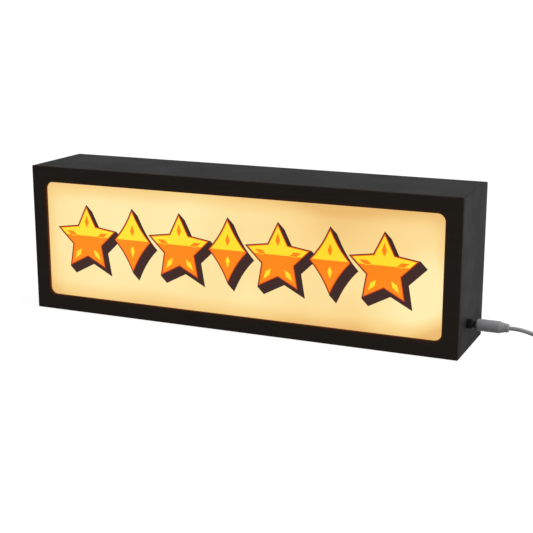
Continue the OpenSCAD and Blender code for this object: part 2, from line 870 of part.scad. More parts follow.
module plug_barrel() {
    color(NICKEL) difference() {
        jack_rod(barrel_r, barrel_tip_x, grip_x);
        jack_rod(barrel_r - barrel_wall, barrel_tip_x - CUT, grip_x + CUT);
    }
}

// Insulating tube inside the barrel, round the bore for the jack's pin
module plug_insulator() {
    color(BLACK_PLASTIC) difference() {
        jack_rod(barrel_r - barrel_wall, barrel_tip_x, grip_x);
        jack_rod(pin_r + pin_play, barrel_tip_x - CUT, grip_x + CUT);
    }
}

// Moulded grip: a drum with a round front edge, and behind a small step a cone down to the strain relief
module plug_grip() {
    round_r = 2.2;
    step = 0.25;
    color(WHITE_PLASTIC) turned_on_jack() {
        translate([0, grip_x]) square([grip_r - round_r, cone_x - grip_x]);
        translate([0, grip_x + round_r]) square([grip_r, cone_x - grip_x - round_r]);
        translate([grip_r - round_r, grip_x + round_r]) circle(round_r, $fn = ROUND_FN);
        polygon([[0, cone_x], [grip_r - step, cone_x], [cone_end_r, boot_x], [0, boot_x]]);
    }
}

// Ribbed strain relief that narrows towards the lead
module plug_boot() {
    rib_count = 3;
    rib_pitch = boot_l / rib_count;
    taper = 0.2;
    groove = 0.3;
    color(WHITE_PLASTIC) turned_on_jack() polygon([
        [0, boot_x],
        for (i = [0:rib_count - 1])
            let (r = cone_end_r - i * taper, x = boot_x + i * rib_pitch, rib_x = x + 0.3 * rib_pitch)
                each [[r - groove, x], [r - groove, rib_x], [r, rib_x], [r - taper, x + rib_pitch]],
        [0, boot_end_x]
    ]);
}

// ---- lead --------------------------------------------------------------------------------------

module cord_run() {
    color(WHITE_PLASTIC) swept(run_points, cord_r);
}

module cord_coil() {
    color(WHITE_PLASTIC) translate([coil_mid.x, coil_mid.y, 0]) rotate_extrude($fn = ROUND_FN)
        translate([coil_in_r, tie_t]) square([coil_out_r - coil_in_r, coil_top_z - tie_t]);
}

module cord_tail() {
    color(WHITE_PLASTIC) swept(tail_points, cord_r);
}

// Strap round the bundle of turns
module cord_tie() {
    reach = coil_out_r + 10;
    color(BLACK_PLASTIC) translate([coil_mid.x, coil_mid.y, 0]) intersection() {
        rotate_extrude($fn = ROUND_FN) difference() {
            translate([coil_in_r - tie_t, 0])
                square([coil_out_r - coil_in_r + 2 * tie_t, coil_top_z + tie_t]);
            translate([coil_in_r, tie_t]) square([coil_out_r - coil_in_r, coil_top_z - tie_t]);
        }
        rotate([0, 0, tie_turn]) translate([0, 0, -CUT]) linear_extrude(coil_top_z + 3 * CUT)
            polygon([
                [0, 0], [reach, -reach * tan(tie_half_angle)], [reach, reach * tan(tie_half_angle)]
            ]);
    }
}

// ---- far plug ----------------------------------------------------------------------------------

// Block on the far plug's axis from x0 to x1, with the stated width and height
module usb_block(x0, x1, w, h) {
    translate([x0, usb_end.y - w / 2, usb_z - h / 2]) cube([x1 - x0, w, h]);
}

module usb_boot() {
    rings = 3;
    step = 0.35; // how much wider each ring is than the one before
    pitch = usb_boot_l / rings;
    color(WHITE_PLASTIC) translate([usb_end.x, usb_end.y, usb_z]) rotate([0, 90, 0])
        rotate_extrude($fn = ROUND_FN) for (i = [0:rings - 1]) {
            translate([0, i * pitch]) square([cord_r + 0.3 + step * i, pitch / 2]);
            translate([0, (i + 0.5) * pitch]) square([cord_r + 1 + step * i, pitch / 2]);
        }
}

module usb_grip() {
    round_r = 2.5;
    color(WHITE_PLASTIC) translate([usb_grip_x, usb_end.y, usb_z]) rotate([90, 0, 90])
        linear_extrude(usb_grip_l) rounded_rect(usb_grip_w, usb_grip_h, round_r);
}

module usb_shell() {
    window = 2;
    window_x = usb_shell_x + usb_shell_l / 2;
    end_x = usb_shell_x + usb_shell_l;
    color(NICKEL) difference() {
        usb_block(usb_shell_x, end_x, usb_shell_w, usb_shell_h);
        usb_block(usb_shell_x - CUT, end_x + CUT,
                  usb_shell_w - 2 * usb_shell_t, usb_shell_h - 2 * usb_shell_t);
        for (side = [-1, 1])
            translate([window_x, usb_end.y + side * usb_shell_w / 4, usb_z])
                cube([window, window, 2 * usb_shell_h], center = true);
    }
}

usb_tongue_h = 1.9;
usb_tongue_top_z = usb_z - usb_shell_h / 2 + usb_shell_t + usb_tongue_h;

module usb_tongue() {
    w = usb_shell_w - 2 * usb_shell_t;
    color(BLACK_PLASTIC)
        translate([usb_shell_x, usb_end.y - w / 2, usb_tongue_top_z - usb_tongue_h])
            cube([usb_shell_l - 0.3, w, usb_tongue_h]);
}

module usb_contacts() {
    contact = [8, 1, 0.15];
    color("#d6b35a") for (y = [-3.5, -1, 1, 3.5])
        translate([usb_shell_x + 2, usb_end.y + y - contact.y / 2, usb_tongue_top_z]) cube(contact);
}

front_frame();
top_board();
bottom_board();
left_board();
right_board();
spacer_top();
spacer_bottom();
spacer_left();
spacer_right();
corner_block_upper_left();
corner_block_upper_right();
corner_block_lower_left();
corner_block_lower_right();
centre_blocks();
printed_film();
diffuser_sheet();
led_board();
led_strip_upper();
led_strip_lower();
led_packages_upper();
led_packages_lower();
strip_resistors();
strip_link_wires();
back_panel();
back_panel_screws();
keyhole_plate_left();
keyhole_plate_right();
keyhole_rivets();
jack_housing();
jack_ring_nut();
jack_centre_pin();
jack_contact_leaf();
jack_terminals();
switch_housing();
switch_rocker();
switch_plunger();
switch_spring();
switch_contact_lever();
switch_terminals();
wire_jack_to_switch();
wire_switch_to_strip();
wire_jack_to_strip();
plug_barrel();
plug_insulator();
plug_grip();
plug_boot();
cord_run();
cord_coil();
cord_tail();
cord_tie();
usb_boot();
usb_grip();
usb_shell();
usb_tongue();
usb_contacts();
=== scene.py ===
"""Looks of a black light box with a lit, printed face, its lead and its far plug.

Metres, in the row's frame: +X right seen from the front, +Y from the lit face to the back, and +Z
up from the floor.
"""

import json
import math

import bmesh
import bpy
from mathutils import Matrix, Vector
from mathutils.geometry import delaunay_2d_cdt


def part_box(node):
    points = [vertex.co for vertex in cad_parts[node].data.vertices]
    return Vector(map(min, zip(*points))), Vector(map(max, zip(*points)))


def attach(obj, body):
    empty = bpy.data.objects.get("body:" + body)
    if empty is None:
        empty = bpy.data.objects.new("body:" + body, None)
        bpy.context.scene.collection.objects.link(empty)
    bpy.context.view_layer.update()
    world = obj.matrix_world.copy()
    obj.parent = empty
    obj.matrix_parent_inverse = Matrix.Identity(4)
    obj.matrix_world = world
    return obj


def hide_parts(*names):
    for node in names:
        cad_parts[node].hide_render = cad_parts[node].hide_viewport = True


MM = 0.001

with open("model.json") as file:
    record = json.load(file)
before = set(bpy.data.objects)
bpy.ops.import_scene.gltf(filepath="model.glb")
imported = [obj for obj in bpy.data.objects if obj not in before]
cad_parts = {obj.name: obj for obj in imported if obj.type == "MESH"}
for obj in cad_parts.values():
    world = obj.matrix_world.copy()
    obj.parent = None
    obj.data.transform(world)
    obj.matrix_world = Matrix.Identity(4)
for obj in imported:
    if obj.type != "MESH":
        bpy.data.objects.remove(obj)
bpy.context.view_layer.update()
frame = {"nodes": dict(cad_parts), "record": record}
nodes = frame["nodes"]
slot_of = {part["node"]: part["material_slot"] for part in frame["record"]["subparts"]}


# ---- camera, light and floor --------------------------------------------------------------------

CAMERA_AZIMUTH = math.radians(23.654)
CAMERA_ELEVATION = math.radians(13.95)
CAMERA_PLACE = (0.466, -1.0243, 0.3351)
CAMERA_LENS_MM = 78.33
WORLD_LEVEL = 0.42  # light that falls on the object from all round
FLOOR_COLOR = 0.22  # share of the light that the floor throws back at the object
FLOOR_GLOW = 0.90  # what the camera sees of the floor on top of the light that falls on it
FLOOR_SIZE = 12.0
LAMP_TARGET = (0, 0, 0.075)
LAMPS = {  # place, size and watts
    "overhead": ((0.3, 0.5, 1.9), 1.6, 8),
    "right_side": ((2.0, -0.1, 1.0), 1.4, 25),
}


def make_camera():
    """The photograph's camera: a level one that looks along the fitted azimuth and elevation."""
    az, el = CAMERA_AZIMUTH, CAMERA_ELEVATION
    back = Vector((math.sin(az) * math.cos(el), -math.cos(az) * math.cos(el), math.sin(el)))
    right = Vector((0, 0, 1)).cross(back).normalized()
    up = back.cross(right)
    data = bpy.data.cameras.new("camera")
    data.lens = CAMERA_LENS_MM
    data.sensor_width = 36
    camera = bpy.data.objects.new("camera", data)
    turn = Matrix((right, up, back)).transposed().to_4x4()
    camera.matrix_world = Matrix.Translation(CAMERA_PLACE) @ turn
    bpy.context.collection.objects.link(camera)
    bpy.context.scene.camera = camera


class Nodes:
    """Short names for building a node tree."""

    def __init__(self, tree):
        self.tree = tree

    def new(self, kind, inputs=None, **settings):
        node = self.tree.nodes.new(kind)
        for key, value in settings.items():
            setattr(node, key, value)
        for key, value in (inputs or {}).items():
            self.put(node.inputs[key], value)
        return node

    def put(self, socket, value):
        if isinstance(value, bpy.types.NodeSocket):
            self.tree.links.new(value, socket)
        else:
            socket.default_value = value

    def math(self, operation, a, b=0.0, clamp=False):
        node = self.new("ShaderNodeMath", operation=operation, use_clamp=clamp)
        self.put(node.inputs[0], a)
        self.put(node.inputs[1], b)
        return node.outputs[0]

    def place(self):
        """Object coordinates, which are metres in the row's frame on every piece here."""
        return self.new("ShaderNodeTexCoord").outputs["Object"]

    def xyz(self):
        return self.new("ShaderNodeSeparateXYZ", {"Vector": self.place()}).outputs

    def stretch(self, scale):
        """Object coordinates scaled by a different number each way."""
        return self.new("ShaderNodeMapping", {"Vector": self.place(), "Scale": scale}).outputs[0]

    def noise(self, scale, detail, roughness, vector=None):
        where = vector or self.place()
        inputs = {"Vector": where, "Scale": scale, "Detail": detail, "Roughness": roughness}
        return self.new("ShaderNodeTexNoise", inputs).outputs["Fac"]

    def smooth(self, value, low, high, to_low=0.0, to_high=1.0):
        node = self.new("ShaderNodeMapRange", interpolation_type="SMOOTHSTEP")
        for i, v in enumerate((value, low, high, to_low, to_high)):
            self.put(node.inputs[i], v)
        return node.outputs[0]

    def mix(self, factor, a, b):
        node = self.new("ShaderNodeMix", data_type="RGBA")
        self.put(node.inputs[0], factor)
        self.put(node.inputs[6], a)
        self.put(node.inputs[7], b)
        return node.outputs[2]

    def bump(self, height, strength, distance):
        inputs = {"Height": height, "Strength": strength, "Distance": distance}
        return self.new("ShaderNodeBump", inputs).outputs[0]

    def any_of(self, *values):
        total = values[0]
        for value in values[1:]:
            total = self.math("MAXIMUM", total, value)
        return total

    def near(self, point, radius):
        """1 at a point, falling smoothly to 0 at a distance from it."""
        node = self.new("ShaderNodeVectorMath", {0: self.place(), 1: point}, operation="DISTANCE")
        return self.smooth(node.outputs["Value"], 0.0, radius, 1.0, 0.0)

    def seen(self):
        """1 on a ray from the camera, also by way of a mirror or glass, and 0 on one for light."""
        path = self.new("ShaderNodeLightPath").outputs
        kinds = ("Is Camera Ray", "Is Glossy Ray", "Is Transmission Ray")
        return self.any_of(*[path[kind] for kind in kinds])


def make_world():
    """White to the camera, and an even, dimmer light on the object."""
    world = bpy.data.worlds.new("studio")
    bpy.context.scene.world = world
    world.use_nodes = True
    world.node_tree.nodes.clear()
    n = Nodes(world.node_tree)
    level = n.smooth(n.seen(), 0.0, 1.0, WORLD_LEVEL, 1.0)
    background = n.new("ShaderNodeBackground", {"Color": (1, 1, 1, 1), "Strength": level})
    out = n.new("ShaderNodeOutputWorld")
    n.put(out.inputs["Surface"], background.outputs[0])


def make_floor():
    """White floor; what is seen of it is lifted to white and keeps a faint shadow."""
    mesh = bpy.data.meshes.new("floor")
    h = FLOOR_SIZE / 2
    mesh.from_pydata([(-h, -h, 0), (h, -h, 0), (h, h, 0), (-h, h, 0)], [], [(0, 1, 2, 3)])
    floor = bpy.data.objects.new("floor", mesh)
    bpy.context.collection.objects.link(floor)
    m = bpy.data.materials.new("floor_white")
    m.use_nodes = True
    m.node_tree.nodes.clear()
    n = Nodes(m.node_tree)
    diffuse = n.new("ShaderNodeBsdfDiffuse", {"Color": (FLOOR_COLOR, FLOOR_COLOR, FLOOR_COLOR, 1)})
    glow = n.new("ShaderNodeEmission", {"Strength": n.math("MULTIPLY", n.seen(), FLOOR_GLOW)})
    both = n.new("ShaderNodeAddShader", {0: diffuse.outputs[0], 1: glow.outputs[0]})
    n.put(n.new("ShaderNodeOutputMaterial").inputs["Surface"], both.outputs[0])
    mesh.materials.append(m)


def make_lamps():
    """Round soft lamps that face the middle of the box."""
    for name, (place, size, energy) in LAMPS.items():
        data = bpy.data.lights.new(name, "AREA")
        data.shape = "DISK"
        data.size = size
        data.energy = energy
        lamp = bpy.data.objects.new(name, data)
        lamp.location = place
        lamp.rotation_mode = "QUATERNION"
        lamp.rotation_quaternion = (Vector(LAMP_TARGET) - Vector(place)).to_track_quat("-Z", "Y")
        bpy.context.collection.objects.link(lamp)


# ---- materials ----------------------------------------------------------------------------------


def srgb(*levels):
    """Colour written as it shows on a screen, 0 to 255, as the shader wants it."""
    shares = [level / 255 for level in levels]
    return (*[((c + 0.055) / 1.055) ** 2.4 if c > 0.04045 else c / 12.92 for c in shares], 1)


made_materials = {}


def surface(name, color, roughness, build, metallic=0.0, specular=0.5, **more):
    """Makes a principled material; build gets its nodes and returns the inputs that vary."""
    m = bpy.data.materials.new(name)
    m.use_nodes = True
    n = Nodes(m.node_tree)
    shader = m.node_tree.nodes["Principled BSDF"]
    shader.inputs["Base Color"].default_value = color
    shader.inputs["Roughness"].default_value = roughness
    shader.inputs["Metallic"].default_value = metallic
    shader.inputs["Specular IOR Level"].default_value = specular
    for key, value in more.items():
        shader.inputs[key.replace("_", " ")].default_value = value
    for key, value in build(n).items():
        n.put(shader.inputs[key], value)
    made_materials[name] = m


BLACK_DARK = srgb(41, 41, 42)
BLACK_LIGHT = srgb(48, 48, 49)
FRAME_DARK = srgb(44, 39, 34)
FRAME_LIGHT = srgb(50, 45, 40)
# Painted glow of the lit film on the window's cut edge, and on the frame's front near it
PAINTED_GLOW_BROWN = srgb(100, 50, 20)
# Painted shade along the foot of the uprights, near the floor
PAINTED_FOOT_SHADE = srgb(20, 20, 21)
FOOT_SHADE_FULL = 20 * MM  # up to here the painted shade along the uprights' foot is darkest
FOOT_SHADE_END = 38 * MM  # and from here up there is no painted shade
BRUSHED_ALONG = (60, 420, 420)  # scales of the brush marks each way
BRUSHED_UP = (420, 420, 60)
CUT_EDGE_GLOW = (0.5 * MM, 0.15 * MM)  # distances from the window over which the cut edge takes on a painted glow of the lit film
EDGE_GLOW = (4 * MM, 0.2 * MM)  # and over which the frame's front takes on a painted warm glow of the lit film
FRONT_GLOW_SHARE = 0.26


def painted(brushed, patch_scale, dark=BLACK_DARK, light=BLACK_LIGHT):
    """Matt paint on fibreboard: faint brush marks, orange peel and rubbed patches."""

    def build(n):
        marks = n.noise(1.0, 4.0, 0.6, n.stretch(brushed))
        peel = n.noise(900.0, 3.0, 0.6)
        patches = n.noise(patch_scale, 3.0, 0.55)
        shade = n.math("ADD", n.math("MULTIPLY", marks, 0.6), n.math("MULTIPLY", patches, 0.4))
        height = n.math("ADD", n.math("MULTIPLY", marks, 0.5), n.math("MULTIPLY", peel, 0.5))
        return {
            "Base Color": n.mix(n.smooth(shade, 0.35, 0.65), dark, light),
            "Roughness": n.smooth(patches, 0.3, 0.7, 0.62, 0.75),
            "Normal": n.bump(height, 0.35, 0.00035),
        }

    return build


def painted_upright(n):
    """The uprights' paint, brushed upwards, with a painted shade that makes it darker along the
    foot, near the floor.
    """
    inputs = painted(BRUSHED_UP, 22.0)(n)
    # painted shade: the uprights' paint darkens towards the floor
    above_foot_shade = n.smooth(n.xyz()[2], FOOT_SHADE_FULL, FOOT_SHADE_END)
    inputs["Base Color"] = n.mix(above_foot_shade, PAINTED_FOOT_SHADE, inputs["Base Color"])
    return inputs


def from_window(n):
    """Distance from the window's edge with its round corners, above 0 on the frame."""
    x, _, z = n.xyz()
    off_x = n.math("ABSOLUTE", x)
    off_z = n.math("ABSOLUTE", n.math("SUBTRACT", z, FACE_MID_Z))
    across = n.math("SUBTRACT", off_x, WINDOW_HALF_W - WINDOW_CORNER)
    along = n.math("SUBTRACT", off_z, WINDOW_HALF_H - WINDOW_CORNER)
    outside = [n.math("POWER", n.math("MAXIMUM", side, 0.0), 2.0) for side in (across, along)]
    corner = n.math("SQRT", n.math("ADD", *outside))
    inside = n.math("MINIMUM", n.math("MAXIMUM", across, along), 0.0)
    return n.math("SUBTRACT", n.math("ADD", corner, inside), WINDOW_CORNER)


def painted_frame(n):
    """The frame's paint, with the lit film's glow painted on: brown on the cut edge round the
    window, warm on the front near it.
    """
    inputs = painted(BRUSHED_ALONG, 14.0, FRAME_DARK, FRAME_LIGHT)(n)
    distance = from_window(n)
    glow_patchiness = n.noise(260.0, 3.0, 0.6)
    # painted glow: brown and patchy along the cut edge, and a warm tinge on the front near the
    # window
    edge = n.math("MULTIPLY", n.smooth(distance, *CUT_EDGE_GLOW), n.smooth(glow_patchiness, 0.2, 0.6, 0.55, 1.0))
    painted_glow = n.smooth(distance, *EDGE_GLOW, 0.0, FRONT_GLOW_SHARE)
    inputs["Base Color"] = n.mix(n.any_of(edge, painted_glow), inputs["Base Color"], PAINTED_GLOW_BROWN)
    return inputs


def bare_wood(n):
    """Sawn pine with its rings and fibres along the block's length."""
    rings = n.noise(1.0, 5.0, 0.6, n.stretch((30, 30, 500)))
    fibre = n.noise(1.0, 3.0, 0.6, n.stretch((200, 200, 3000)))
    light, dark = srgb(214, 178, 128), srgb(170, 125, 80)
    return {
        "Base Color": n.mix(n.smooth(rings, 0.35, 0.65), light, dark),
        "Normal": n.bump(fibre, 0.4, 0.0003),
    }


def hardboard(n):
    """Black-faced hardboard with short pressed fibres."""
    fibres = n.noise(1.0, 5.0, 0.7, n.stretch((900, 900, 350)))
    speck = n.noise(500.0, 2.0, 0.5)
    dark, light = srgb(38, 36, 35), srgb(58, 54, 51)
    return {
        "Base Color": n.mix(n.smooth(fibres, 0.35, 0.7), dark, light),
        "Roughness": n.smooth(speck, 0.3, 0.7, 0.62, 0.8),
        "Normal": n.bump(fibres, 0.5, 0.0003),
    }


def moulded(grain, dark, light):
    """Moulded plastic: a fine spark-eroded grain and a slight cloudiness between two shades."""

    def build(n):
        sparks = n.noise(grain, 2.0, 0.5)
        cloud = n.noise(60.0, 2.0, 0.5)
        return {
            "Base Color": n.mix(n.smooth(cloud, 0.3, 0.7), dark, light),
            "Normal": n.bump(sparks, 0.25, 0.0001),
        }

    return build


def drawn_metal(dark, light, uneven):
    """Metal with fine lines along X and slightly uneven polish."""

    def build(n):
        lines = n.noise(1.0, 3.0, 0.6, n.stretch((150, 2600, 2600)))
        return {
            "Base Color": n.mix(lines, dark, light),
            "Roughness": n.smooth(lines, 0.3, 0.7, *uneven),
            "Normal": n.bump(lines, 0.15, 0.0001),
        }

    return build


def woven_strap(n):
    """Black strap with a fine rib."""
    inputs = {"Vector": n.place(), "Scale": 900.0, "Distortion": 0.6}
    rib = n.new("ShaderNodeTexWave", inputs).outputs["Fac"]
    return {
        "Base Color": n.mix(rib, srgb(24, 24, 25), srgb(52, 52, 54)),
        "Normal": n.bump(rib, 0.6, 0.0003),
    }


# ---- lit face -----------------------------------------------------------------------------------

FRAME_LOW, FRAME_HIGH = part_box("front_frame")
FILM_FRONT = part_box("printed_film")[0].y
FACE_MID_Z = sum(v.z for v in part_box("printed_film")) / 2
FRAME_BORDER = 16 * MM
WINDOW_HALF_W = FRAME_HIGH.x - FRAME_BORDER
WINDOW_HALF_H = (FRAME_HIGH.z - FRAME_LOW.z) / 2 - FRAME_BORDER
WINDOW_CORNER = 7.5 * MM
STRIP_RISE = 25 * MM  # height of the light strips above and below the middle
STRIP_LENGTH = 400 * MM
LEDS_A_STRIP = 24
LED_PITCH = STRIP_LENGTH / LEDS_A_STRIP
LED_RIPPLE = 0.012  # how much the single lights show through
LED_SPREAD = 20 * MM
END_FADE = (-18 * MM, 24 * MM)  # distances inside the window over which the light grows
EDGE_FADE = (-8 * MM, 24 * MM)
EDGE_LIGHT = 0.26
FULL_LIGHT = 0.76
CLOUDINESS = 0.05
# Soft patches of light: x and z from the face's middle and radius in mm, and how much more or less
GLOW_PATCHES = (
    (128, 60, 112, -0.32), (112, 43, 54, -0.21), (-50, 50, 60, 0.1), (209, -20, 62, 0.55),
    (214, -64, 48, -0.85), (124, -47, 36, -0.2), (80, -62, 70, -0.2), (-212, -64, 30, -0.2),
    (-120, 10, 110, 0.10), (40, 20, 80, -0.06),
)


def backlight(n):
    """How strongly the light behind the face comes through, 0 to 1: dimmer towards the window's
    edges, with rows of faint soft spots, and slowly uneven along the box."""
    x, _, z = n.xyz()
    off_mid = n.math("ABSOLUTE", n.math("SUBTRACT", z, FACE_MID_Z))
    to_end = n.math("SUBTRACT", WINDOW_HALF_W, n.math("ABSOLUTE", x))
    to_edge = n.math("SUBTRACT", WINDOW_HALF_H, off_mid)
    inner = n.math("MULTIPLY", n.smooth(to_end, *END_FADE), n.smooth(to_edge, *EDGE_FADE))
    light = n.smooth(inner, 0.0, 1.0, EDGE_LIGHT, FULL_LIGHT)
    wave = n.math("COSINE", n.math("MULTIPLY", x, 2 * math.pi / LED_PITCH))
    off_row = n.math("ABSOLUTE", n.math("SUBTRACT", off_mid, STRIP_RISE))
    spots = n.math("MULTIPLY", wave, n.smooth(off_row, 0.0, LED_SPREAD, 1.0, 0.0))
    light = n.math("ADD", light, n.math("MULTIPLY", spots, LED_RIPPLE))
    for patch_x, patch_z, radius, amount in GLOW_PATCHES:
        patch = n.near((patch_x * MM, FILM_FRONT, FACE_MID_Z + patch_z * MM), radius * MM)
        light = n.math("ADD", light, n.math("MULTIPLY", patch, amount))
    cloud = n.smooth(n.noise(14.0, 2.0, 0.5), 0.3, 0.7, -CLOUDINESS, CLOUDINESS)
    return n.math("ADD", light, cloud, clamp=True)


def lit(name, low, mid, high, unlit):
    """Film lit from behind: shades of its colour, from little light coming through to much."""

    def build(n):
        light = backlight(n)
        dim = n.mix(n.smooth(light, 0.0, 0.55), low, mid)
        return {"Emission Color": n.mix(n.smooth(light, 0.45, 1.0), dim, high)}

    surface(name, unlit, 0.45, build, specular=0.2, Emission_Strength=1.0)


# ---- finishes by name ---------------------------------------------------------------------------

# Shades of the film and its inks: as little, middling and much light comes through, and unlit
LIT = {
    "lit_film": ((232, 183, 109), (248, 212, 140), (252, 235, 174), (70, 60, 42)),
    "print_yellow": ((246, 196, 26), (253, 216, 36), (255, 228, 52), (70, 56, 10)),
    "print_orange": ((238, 108, 4), (250, 128, 6), (255, 140, 12), (70, 30, 4)),
    "print_rim": ((206, 68, 4), (230, 84, 5), (240, 94, 8), (50, 18, 2)),
    "print_outline": ((72, 18, 5), (84, 21, 7), (94, 25, 8), (16, 6, 4)),
    "print_block": ((42, 18, 15), (50, 23, 19), (56, 27, 22), (14, 8, 8)),
}
# Mean, dark and light shade, roughness, specular level and scale of the grain
MOULDED = {
    "opal_sheet": ((240, 232, 212), (232, 222, 200), (244, 238, 222), 0.6, 0.5, 700.0),
    "batten_white": ((226, 220, 206), (216, 208, 190), (234, 229, 216), 0.7, 0.5, 300.0),
    "strip_board": ((240, 238, 230), (232, 230, 222), (246, 244, 238), 0.6, 0.5, 500.0),
    "strip_tape": ((236, 232, 220), (226, 222, 206), (242, 240, 230), 0.5, 0.5, 800.0),
    "led_phosphor": ((246, 224, 120), (240, 210, 96), (250, 232, 150), 0.35, 0.5, 800.0),
    "resistor_black": ((30, 30, 31), (24, 24, 25), (40, 40, 42), 0.5, 0.5, 900.0),
    "wire_red": ((170, 34, 26), (150, 28, 22), (186, 44, 34), 0.45, 0.5, 800.0),
    "wire_black": ((30, 30, 32), (24, 24, 26), (40, 40, 43), 0.45, 0.5, 800.0),
    "black_plastic": ((15, 15, 16), (12, 12, 13), (19, 19, 20), 0.5, 0.14, 1400.0),
    "rocker_black": ((26, 26, 27), (22, 22, 23), (32, 32, 33), 0.28, 0.5, 1400.0),
    "white_plastic": ((148, 148, 150), (143, 143, 145), (154, 154, 156), 0.5, 0.25, 1200.0),
    "cord_white": ((158, 159, 161), (152, 153, 155), (164, 165, 167), 0.5, 0.3, 900.0),
    "mark_white": ((226, 226, 224), (216, 216, 214), (234, 234, 232), 0.5, 0.5, 900.0),
}
# Mean, dark and light shade, roughness, and the range of roughness along the drawn lines
METAL = {
    "zinc_steel": ((176, 178, 182), (158, 160, 165), (196, 197, 200), 0.32, (0.3, 0.45)),
    "contact_metal": ((190, 184, 170), (172, 166, 150), (208, 203, 192), 0.22, (0.22, 0.36)),
    "spring_steel": ((180, 182, 186), (160, 162, 166), (200, 201, 204), 0.25, (0.22, 0.36)),
    "contact_brass": ((206, 166, 92), (188, 148, 76), (222, 184, 112), 0.28, (0.22, 0.36)),
}


def make_materials():
    """The finishes of the record's slots, and those of single pieces."""
    for name, shades in LIT.items():
        lit(name, *[srgb(*shade) for shade in shades])
    for name, (*shades, roughness, specular, grain) in MOULDED.items():
        mean, dark, light = (srgb(*shade) for shade in shades)
        surface(name, mean, roughness, moulded(grain, dark, light), specular=specular)
    for name, (*shades, roughness, uneven) in METAL.items():
        mean, dark, light = (srgb(*shade) for shade in shades)
        surface(name, mean, roughness, drawn_metal(dark, light, uneven), metallic=1.0)
    surface("black_paint", BLACK_DARK, 0.8, painted(BRUSHED_ALONG, 14.0), specular=0.03)
    surface("black_paint_upright", BLACK_DARK, 0.7, painted_upright, specular=0.06)
    surface("black_paint_frame", BLACK_DARK, 0.7, painted_frame, specular=0.06)
    surface("block_wood", srgb(200, 160, 110), 0.75, bare_wood)
    surface("back_hardboard", srgb(44, 42, 40), 0.7, hardboard, specular=0.3)
    surface("tie_black", srgb(34, 34, 36), 0.9, woven_strap, specular=0.2)


# ---- meshes -------------------------------------------------------------------------------------

SAME_POINT = 1e-7
WELD_DISTANCE = 1e-6
FLAT_ANGLE = math.radians(0.5)
ROUND_ANGLE = math.radians(40)
ROUND_SEGMENTS = 3


def add_piece(name, mesh, body, material):
    """Links a mesh as a piece that rides on a CAD body, with the finish of the given name."""
    piece = bpy.data.objects.new(name, mesh)
    bpy.context.collection.objects.link(piece)
    mesh.materials.append(made_materials[material])
    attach(piece, body)


def mesh_of(name, vertices, faces):
    """Flat-shaded mesh whose faces all look outwards."""
    mesh = bpy.data.meshes.new(name)
    mesh.from_pydata([tuple(v) for v in vertices], [], faces)
    bm = bmesh.new()
    bm.from_mesh(mesh)
    bmesh.ops.recalc_face_normals(bm, faces=bm.faces)
    bm.to_mesh(mesh)
    bm.free()
    return mesh


def turns_left(outline):
    """Whether a closed outline runs counterclockwise."""
    return sum(a.cross(b) for a, b in zip(outline, outline[1:] + outline[:1])) > 0


def flat_mesh(name, outlines, thickness, keep, cuts):
    """Thin plate on the film over the union of outlines drawn in X and Z.

    keep, if given, picks triangles by their middle, and cuts are lines that they follow."""
    points, faces, edges = [], [], []
    for outline in outlines:
        start = len(points)
        points += outline if turns_left(outline) else outline[::-1]
        faces.append(list(range(start, len(points))))
    for a, b in cuts:
        edges.append((len(points), len(points) + 1))
        points += [Vector(a), Vector(b)]
    flat, _, triangles, _, _, origins = delaunay_2d_cdt(points, edges, faces, 0, SAME_POINT)
    inside = []
    for triangle, origin in zip(triangles, origins):
        middle = sum((flat[i] for i in triangle), Vector((0, 0))) / 3
        if origin and (keep is None or keep(middle)):
            inside.append(triangle)
    used = sorted({i for triangle in inside for i in triangle})
    index = {v: i for i, v in enumerate(used)}
    count = len(used)
    vertices = [(flat[i].x, FILM_FRONT - y, flat[i].y) for y in (0, thickness) for i in used]
    shell = []
    runs = {}  # the ways in which the triangles run along each edge
    for triangle in inside:
        a, b, c = (index[i] for i in triangle)
        shell += [(a, c, b), (a + count, b + count, c + count)]
        for edge in ((a, b), (b, c), (c, a)):
            runs.setdefault(frozenset(edge), []).append(edge)
    for (a, b), *more in runs.values():
        if not more:
            shell.append((a, b, b + count, a + count))
    return mesh_of(name, vertices, shell)


def soften(obj, width):
    """Rounds an object's edges by modifiers alone, so a CAD node keeps its own mesh.

    Its triangles are first joined to flats, as a bevel folds the long thin ones of a CAD face."""
    weld = obj.modifiers.new("join", "WELD")
    weld.merge_threshold = WELD_DISTANCE
    flats = obj.modifiers.new("flats", "DECIMATE")
    flats.decimate_type = "DISSOLVE"
    flats.angle_limit = FLAT_ANGLE
    bevel = obj.modifiers.new("round", "BEVEL")
    bevel.width = width
    bevel.segments = ROUND_SEGMENTS
    bevel.limit_method = "ANGLE"
    bevel.angle_limit = ROUND_ANGLE


# ---- printed ornaments --------------------------------------------------------------------------

PRINT_LAYER = 0.02 * MM
ROW_MID_Z = 80 * MM
FIRST_X = -194 * MM  # ends of the row
LAST_X = 183 * MM
UPPER_SHARE = 0.45  # share of the window's height that has the upper tones
SPLIT_Z = FACE_MID_Z + WINDOW_HALF_H - UPPER_SHARE * 2 * WINDOW_HALF_H
SPLIT_OVER = 0.1  # how far the line between the tones runs on past the row
MOTIF_HEIGHT = 58 * MM
MOTIFS = 7  # stars at the even places and sparks between them
RIM = 0.9 * MM  # orange rim inside the outline
OUTLINE = 0.9 * MM
BLOCK_SHIFT = Vector((6.8 * MM, -6.8 * MM))
LEAST_AREA = 1e-10  # a side along the shift sweeps over nothing
SHARPEST_MITRE = 0.35
STAR_WAIST = 0.5  # radius of the inner corners as a share of the points'
STAR_RADIUS = MOTIF_HEIGHT / (1 + math.cos(math.radians(36)))
STAR_WIDTH = 2 * STAR_RADIUS * math.sin(math.radians(72))
STAR_DROP = STAR_RADIUS * (1 - math.cos(math.radians(36))) / 2  # hub below the middle of its height
